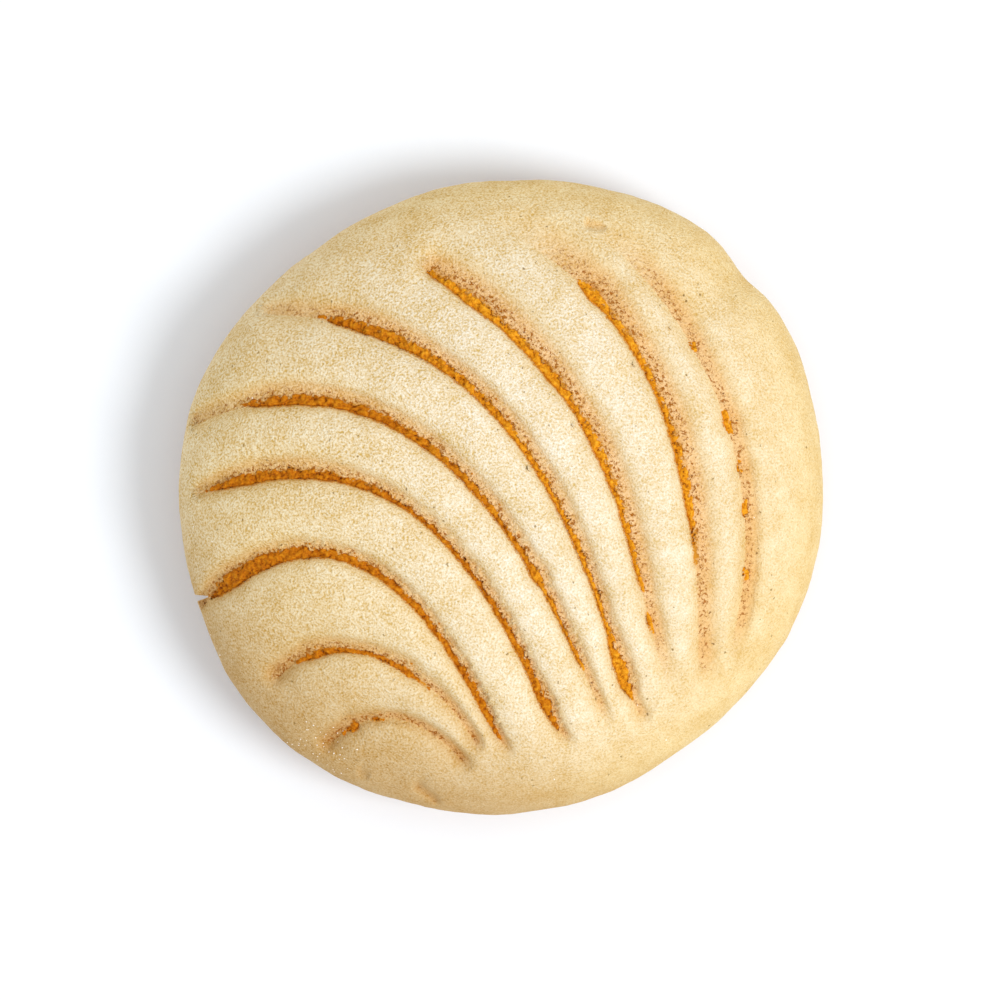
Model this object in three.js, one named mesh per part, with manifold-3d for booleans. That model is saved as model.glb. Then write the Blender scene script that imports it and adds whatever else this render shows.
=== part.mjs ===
// A concha: a round sweet bread roll under a shell of pale sugar paste. The paste was
// pressed with a curved scorer before baking, and the nine cuts opened as the dough rose,
// so bread shows at the bottom of most of them.
// Millimetres, +Z up, standing on the origin. Seen from above, the cuts fan out from the
// low edge (-Y) and sweep round to the left (-X) and the top (+Y).

import * as THREE from 'three';
import { mergeVertices } from 'three/addons/utils/BufferGeometryUtils.js';
import Module from 'manifold-3d';

// The whole roll
const MEAN_RADIUS = 56.9;
const HEIGHT = 44;
const WIDEST_LEVEL = 15;
const BASE_RADIUS = 46;
const DOME_FULLNESS = 2.2;

// The paste shell
const PASTE_AT_CROWN = 3.0;
const PASTE_AT_RIM = 2.3;
const PASTE_EDGE_LEVEL = 9;
const PASTE_EDGE_TUCK = 2;
const CLEARANCE = 0.3;

// How the hand-shaped outline departs from a circle: bulges around it, each with how many
// go round, how far they swell and the angle of one peak, and one pressed dent
const OUTLINE_BULGES = [
  { around: 1, swell: 0.35, peak: 49 },
  { around: 2, swell: 1.45, peak: 36 },
  { around: 3, swell: 0.35, peak: 45 },
  { around: 4, swell: 0.35, peak: 61 },
  { around: 6, swell: 0.3, peak: 45 },
];
const OUTLINE_DENT = { depth: 1.0, at: 41, width: 5 };

// The paste's lower edge crept unevenly as it melted
const EDGE_WAVES = [
  { around: 3, swell: 0.7, peak: 20 },
  { around: 7, swell: 0.5, peak: 75 },
  { around: 11, swell: 0.3, peak: 10 },
];

// The nine cuts in plan: each runs from its head to its tail as one cubic curve that the
// two pull points bend. Between two shares of its length it broke open to the bread; a
// cut that stayed shut has no such stretch.
const CUTS = [
  { head: [-31.5, -44], pulls: [[-26.5, -38], [-17, -33.5]], tail: [-4.5, -48], open: [0, 0] },
  { head: [-42, -34], pulls: [[-26.5, -16.5], [-9.5, -34.5]], tail: [-2, -45], open: [0.16, 0.78] },
  { head: [-57.5, -22.5], pulls: [[-16.5, 16], [-4.5, -44]], tail: [4, -45.5], open: [0, 0.93] },
  { head: [-55, 0], pulls: [[-3, 21.5], [5, -43]], tail: [14.5, -44], open: [0.09, 0.95] },
  { head: [-52, 14], pulls: [[-0.5, 31.5], [13, -36.5]], tail: [21, -41.5], open: [0.05, 0.9] },
  { head: [-45, 32], pulls: [[18, 35], [18, -39.5]], tail: [27, -40.5], open: [0.11, 0.94] },
  { head: [-15, 41], pulls: [[21.5, 19], [21.5, -4]], tail: [30.5, -37], open: [0.02, 0.8] },
  { head: [-4.5, 47.5], pulls: [[40.5, 35], [34, -23.5]], tail: [36.5, -35.5], open: [0.21, 0.78] },
  { head: [11.5, 48], pulls: [[22, 50], [53.5, 16.5]], tail: [40, -30], open: [0, 0] },
];

// Section of a full cut, as [across, up] from the paste's surface: a steep inner wall, a
// narrow floor down in the bread, and a long sloped wall on the outer side of the fan. The
// scorer goes straight down, so on a slope it goes deeper to cut as much paste.
const CUT_SECTION = [
  [-2.8, 0.5], [-1.7, -0.7], [-1.1, -2.0], [-0.8, -4.0],
  [0.8, -4.0], [1.6, -2.3], [2.8, -1.0], [4.4, 0.5],
];
const CUT_FADES_OVER = 0.12;
const CUT_OPENS_OVER = 0.04;
const CUT_WHERE_SHUT = 0.5;
const CUT_END_SCALE = 0.08;
const CUT_END_LIFT = 0.4;
const STEEPEST = 1.6;

// Where the third cut ran out through the paste's rim
const RIM_NOTCH = { at: 198.5, width: 0.9, depth: 2.8, bottom: 5, top: 30 };

// How finely the curves are divided
const STEPS_AROUND = 60;
const STEPS_UP_DOME = 11;
const STEPS_UP_SIDE = 4;
const STEPS_ALONG_CUT = 18;

const wasm = await Module();
wasm.setup();

const radians = THREE.MathUtils.degToRad;
const smoothstep = THREE.MathUtils.smoothstep;

function waves(list, angle) {
  return list.reduce((sum, w) => sum + w.swell * Math.cos(w.around * (angle - radians(w.peak))), 0);
}

// Radius of the roll's outline in a direction, as a share of the mean radius
function outline(angle) {
  const turn = angle - radians(OUTLINE_DENT.at);
  const away = Math.atan2(Math.sin(turn), Math.cos(turn)) / radians(OUTLINE_DENT.width);
  const dent = OUTLINE_DENT.depth * Math.exp(-(away ** 2));
  return 1 + (waves(OUTLINE_BULGES, angle) - dent) / MEAN_RADIUS;
}

// Height of a dome above its widest level, at a share of its radius from the axis
function domeRise(share, rise) {
  return rise * Math.sqrt(Math.max(0, 1 - Math.min(share, 1) ** DOME_FULLNESS));
}

// A dome's profile from the rim to the crown, closest together where it turns over
function domeProfile(radius, rise) {
  const points = [];
  for (let i = 0; i <= STEPS_UP_DOME; i += 1) {
    const share = Math.cos((i / STEPS_UP_DOME) * Math.PI / 2);
    points.push(new THREE.Vector2(radius * share, WIDEST_LEVEL + domeRise(share, rise)));
  }
  points[STEPS_UP_DOME].x = 0;
  return points;
}

// A side's profile: a quarter of an ellipse from its foot out towards the widest level
function sideProfile(foot, radius, low) {
  const points = [];
  for (let i = 0; i < STEPS_UP_SIDE; i += 1) {
    const turn = (i / STEPS_UP_SIDE) * Math.PI / 2;
    const level = low + (WIDEST_LEVEL - low) * (1 - Math.cos(turn));
    points.push(new THREE.Vector2(foot + (radius - foot) * Math.sin(turn), level));
  }
  return points;
}

// The bread's profile, grown outwards by a margin all over
function breadProfile(margin) {
  const radius = MEAN_RADIUS - PASTE_AT_RIM - CLEARANCE + margin;
  const crown = HEIGHT - PASTE_AT_CROWN - CLEARANCE + margin;
  return [
    new THREE.Vector2(0, -margin),
    new THREE.Vector2(BASE_RADIUS / 2, -margin),
    ...sideProfile(BASE_RADIUS + margin, radius, -margin),
    ...domeProfile(radius, crown - WIDEST_LEVEL),
  ];
}

// The outside of the paste, filled in underneath
function pasteProfile() {
  return [
    new THREE.Vector2(0, PASTE_EDGE_LEVEL),
    ...sideProfile(MEAN_RADIUS - PASTE_EDGE_TUCK, MEAN_RADIUS, PASTE_EDGE_LEVEL),
    ...domeProfile(MEAN_RADIUS, HEIGHT - WIDEST_LEVEL),
  ];
}

// A turned shape pushed out to the roll's outline. Below the widest level its points
// follow the waves of the paste's edge, if it has them.
function turned(profile, edgeWaves = []) {
  const shape = new THREE.LatheGeometry(profile, STEPS_AROUND).rotateX(Math.PI / 2);
  const place = shape.getAttribute('position');
  for (let i = 0; i < place.count; i += 1) {
    const angle = Math.atan2(place.getY(i), place.getX(i));
    const share = outline(angle);
    const below = Math.max(0, (WIDEST_LEVEL - place.getZ(i)) / (WIDEST_LEVEL - PASTE_EDGE_LEVEL));
    const wave = waves(edgeWaves, angle) * below;
    place.setXYZ(i, place.getX(i) * share, place.getY(i) * share, place.getZ(i) + wave);
  }
  return shape;
}

// Level of the paste's outer surface over a place in plan
function pasteLevel(x, y) {
  const share = Math.hypot(x, y) / (MEAN_RADIUS * outline(Math.atan2(y, x)));
  return WIDEST_LEVEL + domeRise(share, HEIGHT - WIDEST_LEVEL);
}

// How much longer than square to the surface the way straight down through the paste is
function steepness(x, y) {
  const step = 0.05;
  const slopeX = (pasteLevel(x + step, y) - pasteLevel(x - step, y)) / (2 * step);
  const slopeY = (pasteLevel(x, y + step) - pasteLevel(x, y - step)) / (2 * step);
  return Math.min(STEEPEST, Math.hypot(1, slopeX, slopeY));
}

function flatPoints(pairs) {
  return pairs.map(([x, y]) => new THREE.Vector2(x, y));
}

// One cut: its section swept over the dome along its curve, smaller and lifted at both ends
function cutter({ head, pulls, tail, open }) {
  const path = new THREE.CubicBezierCurve(...flatPoints([head, ...pulls, tail]));
  const shape = new THREE.ExtrudeGeometry(new THREE.Shape(flatPoints(CUT_SECTION)), {
    depth: 1,
    steps: STEPS_ALONG_CUT,
    bevelEnabled: false,
  });
  const place = shape.getAttribute('position');
  for (let i = 0; i < place.count; i += 1) {
    const along = place.getZ(i);
    const plan = path.getPointAt(along);
    const heading = path.getTangentAt(along);
    const fade = smoothstep(along, 0, CUT_FADES_OVER) * smoothstep(1 - along, 0, CUT_FADES_OVER);
    const opened = smoothstep(along, open[0] - CUT_OPENS_OVER, open[0] + CUT_OPENS_OVER)
      * smoothstep(-along, -open[1] - CUT_OPENS_OVER, -open[1] + CUT_OPENS_OVER);
    const scale = CUT_END_SCALE + (1 - CUT_END_SCALE) * fade;
    const depth = scale * THREE.MathUtils.lerp(CUT_WHERE_SHUT, 1, opened);
    const x = plan.x - heading.y * place.getX(i) * scale;
    const y = plan.y + heading.x * place.getX(i) * scale;
    const sunk = Math.min(0, place.getY(i)) * depth * steepness(plan.x, plan.y);
    const proud = Math.max(0, place.getY(i)) + CUT_END_LIFT * (1 - fade);
    place.setXYZ(i, x, y, pasteLevel(x, y) + sunk + proud);
  }
  return shape;
}

// The slit through the rim: an upright wedge that narrows towards the bread
function rimWedge() {
  const tall = RIM_NOTCH.top - RIM_NOTCH.bottom;
  const wedge = new THREE.Shape(flatPoints([
    [-RIM_NOTCH.depth, 0],
    [RIM_NOTCH.depth, -RIM_NOTCH.width],
    [RIM_NOTCH.depth, RIM_NOTCH.width],
  ]));
  const angle = radians(RIM_NOTCH.at);
  return new THREE.ExtrudeGeometry(wedge, { depth: tall, bevelEnabled: false })
    .translate(MEAN_RADIUS * outline(angle), 0, RIM_NOTCH.bottom)
    .rotateZ(angle);
}

// A geometry as a solid that can be cut: corners shared, faces without area left out
function solid(shape) {
  shape.deleteAttribute('normal');
  shape.deleteAttribute('uv');
  const welded = mergeVertices(shape);
  const corners = [];
  for (let i = 0; i < welded.index.count; i += 3) {
    const [a, b, c] = [0, 1, 2].map((k) => welded.index.getX(i + k));
    if (a !== b && b !== c && c !== a) corners.push(a, b, c);
  }
  return new wasm.Manifold(new wasm.Mesh({
    numProp: 3,
    vertProperties: new Float32Array(welded.getAttribute('position').array),
    triVerts: new Uint32Array(corners),
  }));
}

function named(name, body, material) {
  const { vertProperties, triVerts } = body.getMesh();
  const shape = new THREE.BufferGeometry();
  shape.setAttribute('position', new THREE.BufferAttribute(vertProperties, 3));
  shape.setIndex(new THREE.BufferAttribute(triVerts, 1));
  shape.computeVertexNormals();
  const mesh = new THREE.Mesh(shape, material);
  mesh.name = name;
  return mesh;
}

// The bread roll, golden where the paste leaves it bare
const bread = solid(turned(breadProfile(0)));
const breadCrust = new THREE.MeshStandardMaterial({ color: '#c98a35', roughness: 0.75, metalness: 0 });

// The sugar paste, fitted over the bread and cut through to it
const hollow = solid(turned(breadProfile(CLEARANCE)));
const scored = CUTS.reduce(
  (paste, cut) => paste.subtract(solid(cutter(cut))),
  solid(turned(pasteProfile(), EDGE_WAVES)).subtract(hollow).subtract(solid(rimWedge())),
);
const sugarPaste = new THREE.MeshStandardMaterial({ color: '#ecd4a3', roughness: 0.95, metalness: 0 });

const concha = new THREE.Group();
concha.add(named('bun', bread, breadCrust), named('topping', scored, sugarPaste));

export default concha;
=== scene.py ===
import math

import bmesh
import bpy
import numpy as np
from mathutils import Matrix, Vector
from mathutils.geometry import interpolate_bezier
from mathutils.kdtree import KDTree


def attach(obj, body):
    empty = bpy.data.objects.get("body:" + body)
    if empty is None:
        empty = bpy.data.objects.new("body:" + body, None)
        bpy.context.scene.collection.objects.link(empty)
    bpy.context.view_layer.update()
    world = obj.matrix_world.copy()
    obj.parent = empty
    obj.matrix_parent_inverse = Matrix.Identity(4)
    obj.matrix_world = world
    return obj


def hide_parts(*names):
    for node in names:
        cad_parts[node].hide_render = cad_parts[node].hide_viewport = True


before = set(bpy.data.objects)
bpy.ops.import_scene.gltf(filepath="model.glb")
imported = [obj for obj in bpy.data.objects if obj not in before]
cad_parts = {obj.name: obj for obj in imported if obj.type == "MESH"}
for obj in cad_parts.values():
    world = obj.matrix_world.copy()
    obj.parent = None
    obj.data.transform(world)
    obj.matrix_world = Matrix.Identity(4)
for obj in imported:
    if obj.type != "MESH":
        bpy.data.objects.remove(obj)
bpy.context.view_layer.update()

# The bread roll
# A round of sweet yeast dough that rose and baked under its coat of paste. It stands on a flat
# browned base and its bare side is a golden crust. Where the paste broke open along the cuts
# the dough tore with it, and a rough orange crumb shows.
MM = 0.001
ROLL_RADIUS = 56.9 * MM
ROLL_HEIGHT = 44 * MM
WIDEST_LEVEL = 15 * MM
BASE_RADIUS = 46 * MM
DOME_FULLNESS = 2.2
PASTE_AT_CROWN = 3.3 * MM
PASTE_AT_RIM = 2.6 * MM

# The outline: bulges as how many go round, swell in mm and angle of a peak, and one dent
BULGES = [(1, 0.4, 49), (2, 1.55, 36), (3, 0.4, 45), (4, 0.4, 59), (6, 0.35, 44)]
DENT_DEPTH, DENT_AT, DENT_WIDTH = 1.6, 43, 6

# The roll's faces: squares across its dome, rings on its base as shares of the base's radius, and how near
# a cut, in mm on its inner and outer side, faces are split in four, and then once more
BREAD_SQUARES = 150
BASE_RINGS = [0.97, 0.9, 0.78, 0.6, 0.4, 0.2]
BREAD_SPLITS = [(1.9, 3.2), (1.6, 2.8)]
SIDE_VIEW_STEPS = 240

# The nine cuts in plan, in mm, then three small creases: head, two pull points and tail of a cubic
# curve, how far it fades in at its head and out at its tail, how broad the walls on its inner and outer
# side are, how deep it stays where it is shut, and the stretches that broke open to the bread, as
# knots of share of the length and width of the gap in mm
CUTS = [
    ((-31.5, -46), (-28.5, -39.5), (-17, -32), (-5, -48.5), (4, 4), (1, 0.75), 1.0,
     [[(0.2, 0.2), (0.24, 1.1), (0.27, 1.2), (0.29, 0.2)], [(0.35, 0.1), (0.38, 0.4), (0.43, 0.1)]]),
    ((-41, -34), (-28, -17), (-8.5, -32.5), (-3.5, -45.5), (4, 4), (1, 0.85), 1.0,
     [[(0.17, 0.3), (0.22, 1.0), (0.3, 0.8), (0.4, 0.3), (0.46, 0.4), (0.52, 0.8), (0.58, 1.1),
       (0.63, 0.3), (0.68, 0.1)]]),
    ((-57, -24), (-20, 19), (0.5, -47.5), (2, -46), (9, 5), (1, 0.7), 1.0,
     [[(0.105, 0.6), (0.13, 1.5), (0.16, 2.2), (0.2, 2.2), (0.34, 1.8), (0.4, 1.3), (0.55, 1.1),
       (0.7, 0.9), (0.8, 1.1), (0.89, 1.1), (0.94, 0.1)]]),
    ((-55, -0.5), (-3, 22), (6.5, -46.5), (13.5, -43.5), (4, 6), (1, 0.8), 0.95,
     [[(0.05, 0.3), (0.13, 1.6), (0.25, 1.4), (0.38, 1.0), (0.45, 0.6), (0.7, 0.9), (0.82, 0.8),
       (0.89, 1.6), (0.935, 0.6), (0.955, 0.1)]]),
    ((-56.5, 11.5), (-1.5, 38), (17, -44), (19.5, -41), (4, 7), (1, 0.9), 0.85,
     [[(0.12, 0.3), (0.16, 1.2), (0.22, 1.5), (0.27, 1.3), (0.41, 1.3), (0.47, 1.0), (0.53, 1.2),
       (0.62, 0.8), (0.68, 1.0), (0.71, 1.6), (0.735, 0.5), (0.78, 0.4), (0.84, 0.4), (0.87, 0.6),
       (0.885, 0.1)]]),
    ((-44, 32), (18, 33), (17, -40), (26.5, -39.5), (5, 4), (1, 0.95), 0.85,
     [[(0.12, 0.3), (0.16, 1.3), (0.23, 1.6), (0.33, 1.2), (0.41, 1.2), (0.5, 1.0), (0.58, 0.9),
       (0.7, 0.8), (0.74, 0.4), (0.82, 0.4), (0.88, 1.8), (0.92, 1.6), (0.945, 0.1)]]),
    ((-16.5, 41.5), (25.5, 16.5), (19.5, -8), (30, -36.5), (6, 13), (1, 1.4), 0.9,
     [[(0.04, 0.4), (0.1, 0.9), (0.14, 1.7), (0.2, 0.9), (0.34, 1.6), (0.43, 0.9), (0.49, 1.3),
       (0.6, 0.8), (0.66, 0.7), (0.73, 0.5), (0.78, 0.1)], [(0.81, 0.1), (0.83, 0.4), (0.86, 0.1)]]),
    ((-4.5, 49), (42, 28), (31.5, -22.5), (35.5, -35.5), (22, 9), (1, 1.75), 0.9,
     [[(0.215, 0.6), (0.25, 1.5), (0.29, 0.7), (0.45, 0.5), (0.52, 0.8), (0.62, 1.0), (0.69, 0.4),
       (0.77, 0.1)]]),
    ((10.5, 48.5), (18.5, 48.5), (53.5, 15), (39, -30), (24, 10), (1.2, 1.35), 0.9,
     [[(0.35, 0.65), (0.365, 0.65)], [(0.5, 0.7), (0.535, 0.8)], [(0.6, 0.65), (0.615, 0.65)],
      [(0.68, 0.7), (0.7, 0.7)], [(0.8, 0.65), (0.815, 0.65)]]),
    ((13.5, 47.5), (15, 47), (17, 46.5), (19.5, 46.5), (2, 2.5), (0.4, 0.5), 0.55, []),
    ((-16, -50.8), (-14.5, -51.2), (-13, -52.5), (-10.5, -55), (1.5, 2), (0.4, 0.5), 0.55, []),
    ((-25.5, -48.5), (-25, -48.5), (-24, -49), (-23, -49.5), (1, 1), (0.4, 0.5), 0.3, []),
]

# How far into its fade a cut starts, the share of its length over which a stretch opens, how many mm
# its sloping edges add to a gap's seen width, and how the outer walls broaden along the cuts
FADE_HEAD_START = 0.1 * MM
CUT_OPENS_OVER = 0.025
EDGES_ADD = 0.25
WALL_BREADTH = [(0, 1), (0.08, 1.5), (0.2, 1.5), (0.35, 1.1), (0.6, 1), (0.8, 0.9), (1, 0.8)]

# What a point of the guide along the cuts knows, and of what kind it is
GUIDE_STEPS = 500
GUIDE_FACTS = {"cut": "INT", "leftward": "FLOAT_VECTOR", "depth": "FLOAT", "gap": "FLOAT", "open": "FLOAT",
               "inner": "FLOAT", "outer": "FLOAT"}


def outline(angle):
    """Radius of the roll in a direction, as a share of its mean radius."""
    swell = sum(size * np.cos(around * (angle - math.radians(peak))) for around, size, peak in BULGES)
    turn = np.degrees(np.angle(np.exp(1j * (angle - math.radians(DENT_AT)))))
    dent = DENT_DEPTH * np.exp(-((turn / DENT_WIDTH) ** 2))
    return 1 + (swell - dent) * MM / ROLL_RADIUS


def side_view(radius, crown, foot, low):
    """Half of a dome seen from the side, from the crown out to its widest and down to its foot."""
    turn = np.linspace(0, math.pi / 2, SIDE_VIEW_STEPS)
    over = radius * np.sin(turn)
    fall = np.sqrt(np.maximum(0, 1 - np.sin(turn) ** DOME_FULLNESS))
    level = WIDEST_LEVEL + (crown - WIDEST_LEVEL) * fall
    under = foot + (radius - foot) * np.cos(turn[1:])
    lower = low + (WIDEST_LEVEL - low) * (1 - np.sin(turn[1:]))
    return np.concatenate([over, under]), np.concatenate([level, lower])


def make_object(name, content):
    """An object in the scene that holds a mesh, a lamp or a camera."""
    made = bpy.data.objects.new(name, content)
    bpy.context.scene.collection.objects.link(made)
    return made


def dome(name, view, squares, base_rings, sag=None):
    """A closed dome of near-square faces: a square grid pushed out to a disc and laid over a side view."""
    line = np.linspace(-1, 1, squares + 1)
    x, y = np.meshgrid(line, line)
    wide = np.abs(x) >= np.abs(y)
    reach = np.where(wide, x, y)
    slant = np.where(wide, y, x) / np.where(reach == 0, 1, reach) * math.pi / 4
    angle = np.where(wide, slant, math.pi / 2 - slant) + np.where(reach < 0, math.pi, 0)
    radii, levels = view
    length = np.concatenate([[0], np.cumsum(np.hypot(np.diff(radii), np.diff(levels)))])
    radius = np.interp(np.abs(reach) * length[-1], length, radii) * outline(angle)
    level = np.interp(np.abs(reach) * length[-1], length, levels)
    if sag is not None:
        level = level + sag(angle, level)
    points = np.stack([radius * np.cos(angle), radius * np.sin(angle), level], axis=-1).reshape(-1, 3)
    number = np.arange((squares + 1) ** 2).reshape(squares + 1, squares + 1)
    quads = [number[:-1, :-1], number[:-1, 1:], number[1:, 1:], number[1:, :-1]]
    faces = np.stack(quads, axis=-1).reshape(-1, 4).tolist()
    ring = [*number[0, :-1], *number[:-1, -1], *number[-1, :0:-1], *number[:0:-1, 0]]
    points = points.tolist()
    rim = [points[i] for i in ring]
    for share in base_rings:
        inner = range(len(points), len(points) + len(ring))
        points += [(px * share, py * share, pz) for px, py, pz in rim]
        for k in range(len(ring)):
            after = (k + 1) % len(ring)
            faces.append([ring[after], ring[k], inner[k], inner[after]])
        ring = inner
    points.append((0, 0, sum(p[2] for p in rim) / len(rim)))
    faces += [[ring[(k + 1) % len(ring)], ring[k], len(points) - 1] for k in range(len(ring))]
    mesh = bpy.data.meshes.new(name)
    mesh.from_pydata(points, [], faces)
    return make_object(name, mesh)


def ease(value, start, end):
    """Rises smoothly from 0 at the start to 1 at the end."""
    share = np.clip((value - start) / (end - start), 0, 1)
    return share * share * (3 - 2 * share)


def cut_guide(name, steps):
    """The cuts as chains of points in plan. Each point knows its cut, its left and its form there."""
    places, links = [], []
    facts = {title: [] for title in GUIDE_FACTS}
    for index, (head, pull, other, tail, fades, breadth, shut, openings) in enumerate(CUTS):
        corners = [Vector((x * MM, y * MM, 0)) for x, y in (head, pull, other, tail)]
        path = np.array(interpolate_bezier(*corners, steps))
        heading = np.gradient(path, axis=0)
        heading /= np.linalg.norm(heading, axis=1)[:, None]
        run = np.concatenate([[0], np.cumsum(np.linalg.norm(np.diff(path, axis=0), axis=1))])
        along = run / run[-1]
        fade_in = ease(run + FADE_HEAD_START, 0, fades[0] * MM)
        valley = shut * fade_in * ease(run[-1] - run, 0, fades[1] * MM)
        opened = np.zeros(steps)
        gap = np.zeros(steps)
        for knots in openings:
            shares, widths = zip(*knots)
            inside = ease(along, shares[0] - CUT_OPENS_OVER, shares[0] + CUT_OPENS_OVER)
            inside = inside * ease(-along, -shares[-1] - CUT_OPENS_OVER, -shares[-1] + CUT_OPENS_OVER)
            opened = np.maximum(opened, inside)
            gap = np.maximum(gap, (inside * np.interp(along, shares, widths) - EDGES_ADD) * MM)
        links += [(len(places) + k, len(places) + k + 1) for k in range(steps - 1)]
        places += path.tolist()
        facts["cut"] += [index] * steps
        facts["leftward"] += np.stack([-heading[:, 1], heading[:, 0], np.zeros(steps)], axis=1).tolist()
        facts["depth"] += (valley + (1 - valley) * opened).tolist()
        facts["gap"] += gap.tolist()
        facts["open"] += opened.tolist()
        facts["inner"] += [breadth[0]] * steps
        facts["outer"] += (breadth[1] * np.interp(along, *zip(*WALL_BREADTH))).tolist()
    mesh = bpy.data.meshes.new(name)
    mesh.from_pydata(places, links, [])
    for title, kind in GUIDE_FACTS.items():
        field = mesh.attributes.new(title, kind, "POINT")
        values = np.ravel(facts[title]).tolist()
        field.data.foreach_set("vector" if kind == "FLOAT_VECTOR" else "value", values)
    return make_object(name, mesh)


def split_along_cuts(piece, inner, outer):
    """Splits in four every face of a piece's top that lies so near a cut on its inner or outer side."""
    shape = bmesh.new()
    shape.from_mesh(piece.data)
    shape.normal_update()
    leftward = guide.data.attributes["leftward"].data
    near = set()
    for corner in shape.verts:
        place, index, distance = cut_finder.find((corner.co.x, corner.co.y, 0))
        is_outer = (corner.co - place).dot(leftward[index].vector) > 0
        if corner.normal.z > 0 and distance < (outer if is_outer else inner):
            near.add(corner)
    edges = [edge for edge in shape.edges if edge.verts[0] in near and edge.verts[1] in near]
    bmesh.ops.subdivide_edges(shape, edges=edges, cuts=1, use_grid_fill=True)
    shape.to_mesh(piece.data)
    shape.free()


def linear(colour):
    """An sRGB hex colour as linear red, green, blue and alpha."""
    shares = [int(colour[i:i + 2], 16) / 255 for i in (1, 3, 5)]
    return [s / 12.92 if s <= 0.04045 else ((s + 0.055) / 1.055) ** 2.4 for s in shares] + [1.0]


def add(tree, kind, inputs=None, **settings):
    """Adds a node to a tree: its settings, then each input as a value or as a link from a node or socket."""
    node = tree.nodes.new(kind)
    for name, value in settings.items():
        setattr(node, name, value)
    for key, value in (inputs or {}).items():
        if isinstance(key, int):
            socket = node.inputs[key]
        else:
            socket = next(s for s in node.inputs if s.enabled and s.name == key)
        if isinstance(value, bpy.types.Node):
            value = next(s for s in value.outputs if s.enabled)
        if isinstance(value, bpy.types.NodeSocket):
            tree.links.new(value, socket)
        else:
            socket.default_value = value
    return node


def start_material(name):
    """A new material and its tree, still empty."""
    material = bpy.data.materials.new(name)
    material.use_nodes = True
    material.node_tree.nodes.clear()
    return material, material.node_tree


def start_tree(name, inputs):
    """An empty tree that takes and gives geometry, with named inputs of given kinds."""
    tree = bpy.data.node_groups.new(name, "GeometryNodeTree")
    tree.interface.new_socket("Geometry", in_out="OUTPUT", socket_type="NodeSocketGeometry")
    tree.interface.new_socket("Geometry", in_out="INPUT", socket_type="NodeSocketGeometry")
    for title, kind in inputs.items():
        tree.interface.new_socket(title, in_out="INPUT", socket_type="NodeSocket" + kind)
    return tree, tree.nodes.new("NodeGroupInput").outputs


def end_tree(tree, geometry, material):
    """Ends a tree: instances made real, the material set and the result given out."""
    whole = add(tree, "GeometryNodeRealizeInstances", {"Geometry": geometry})
    clad = add(tree, "GeometryNodeSetMaterial", {"Geometry": whole, "Material": material})
    add(tree, "NodeGroupOutput", {"Geometry": clad})


def read_guide(tree, line, spot, titles):
    """The way in plan to a spot from the nearest point of the guide, and that point's facts by title."""
    flat = add(tree, "ShaderNodeVectorMath", {0: spot, 1: (1, 1, 0)}, operation="MULTIPLY")
    nearest = add(tree, "GeometryNodeSampleNearest",
                  {"Geometry": line, "Sample Position": flat}, domain="POINT")
    middle = add(tree, "GeometryNodeSampleIndex", {"Geometry": line, "Value": spot, "Index": nearest},
                 data_type="FLOAT_VECTOR", domain="POINT")
    way = add(tree, "ShaderNodeVectorMath", {0: flat, 1: middle}, operation="SUBTRACT")
    facts = {}
    for title in titles:
        kind = GUIDE_FACTS[title]
        field = add(tree, "GeometryNodeInputNamedAttribute", {"Name": title}, data_type=kind)
        facts[title] = add(tree, "GeometryNodeSampleIndex",
                           {"Geometry": line, "Value": field, "Index": nearest},
                           data_type=kind, domain="POINT")
    return way, facts


def run_tree(piece, tree, values):
    """Runs a tree on a piece, with its inputs set, and keeps the result as the piece's own plain mesh."""
    modifier = piece.modifiers.new(tree.name, "NODES")
    modifier.node_group = tree
    for socket in tree.interface.items_tree:
        if socket.in_out == "INPUT" and socket.name in values:
            modifier[socket.identifier] = values[socket.name]
    graph = bpy.context.evaluated_depsgraph_get()
    made = piece.evaluated_get(graph)
    mesh = bpy.data.meshes.new_from_object(made, preserve_all_data_layers=True, depsgraph=graph)
    piece.modifiers.clear()
    piece.data = mesh
    mesh.name = piece.name


guide = cut_guide("cut_guide", GUIDE_STEPS)
cut_finder = KDTree(len(guide.data.vertices))
for point in guide.data.vertices:
    cut_finder.insert(point.co, point.index)
cut_finder.balance()

# Baked dough: a dry matte crust, golden brown on the side and base, grainy orange where it tore. The
# torn crumb carries painted shade: darker towards the side away from the lamp and darker in its hollows.
# Between two levels it gives way to the side's crust.
CRUMB_GRAIN = 0.6 * MM
CRUST_PATCH = 9 * MM
CRUST_UP_TO, CRUMB_DOWN_TO = 13 * MM, 18 * MM
BROWN_BASE_UP_TO = 3 * MM
# Painted shade across the crumb: the way it lightens, and where the shade starts and is full
CRUMB_LIT_WAY, CRUMB_SHADE_FROM, CRUMB_SHADE_FULL = (0.9, 0.43, 0), 8 * MM, -12 * MM
crust, tree = start_material("baked_dough")
place = add(tree, "ShaderNodeTexCoord").outputs["Object"]
height = add(tree, "ShaderNodeSeparateXYZ", {"Vector": place}).outputs["Z"]
hollows = add(tree, "ShaderNodeAttribute", attribute_name="hollows").outputs["Fac"]
crumb = add(tree, "ShaderNodeTexNoise",
            {"Vector": place, "Scale": 1 / CRUMB_GRAIN, "Detail": 3.0, "Roughness": 0.7})
# Painted shade: the torn crumb's colour darkens where its surface sinks into hollows
crumb_tone = add(tree, "ShaderNodeMath", {0: hollows, 1: -0.4, 2: crumb.outputs[0]}, operation="MULTIPLY_ADD")
torn = add(tree, "ShaderNodeValToRGB", {"Fac": crumb_tone})
torn.color_ramp.elements[0].position = 0.1
torn.color_ramp.elements[0].color = linear("#7a3e03")
torn.color_ramp.elements[1].position = 0.46
torn.color_ramp.elements[1].color = linear("#f4b02c")
torn.color_ramp.elements.new(0.2).color = linear("#c87a0a")
torn.color_ramp.elements.new(0.32).color = linear("#e29414")
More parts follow.
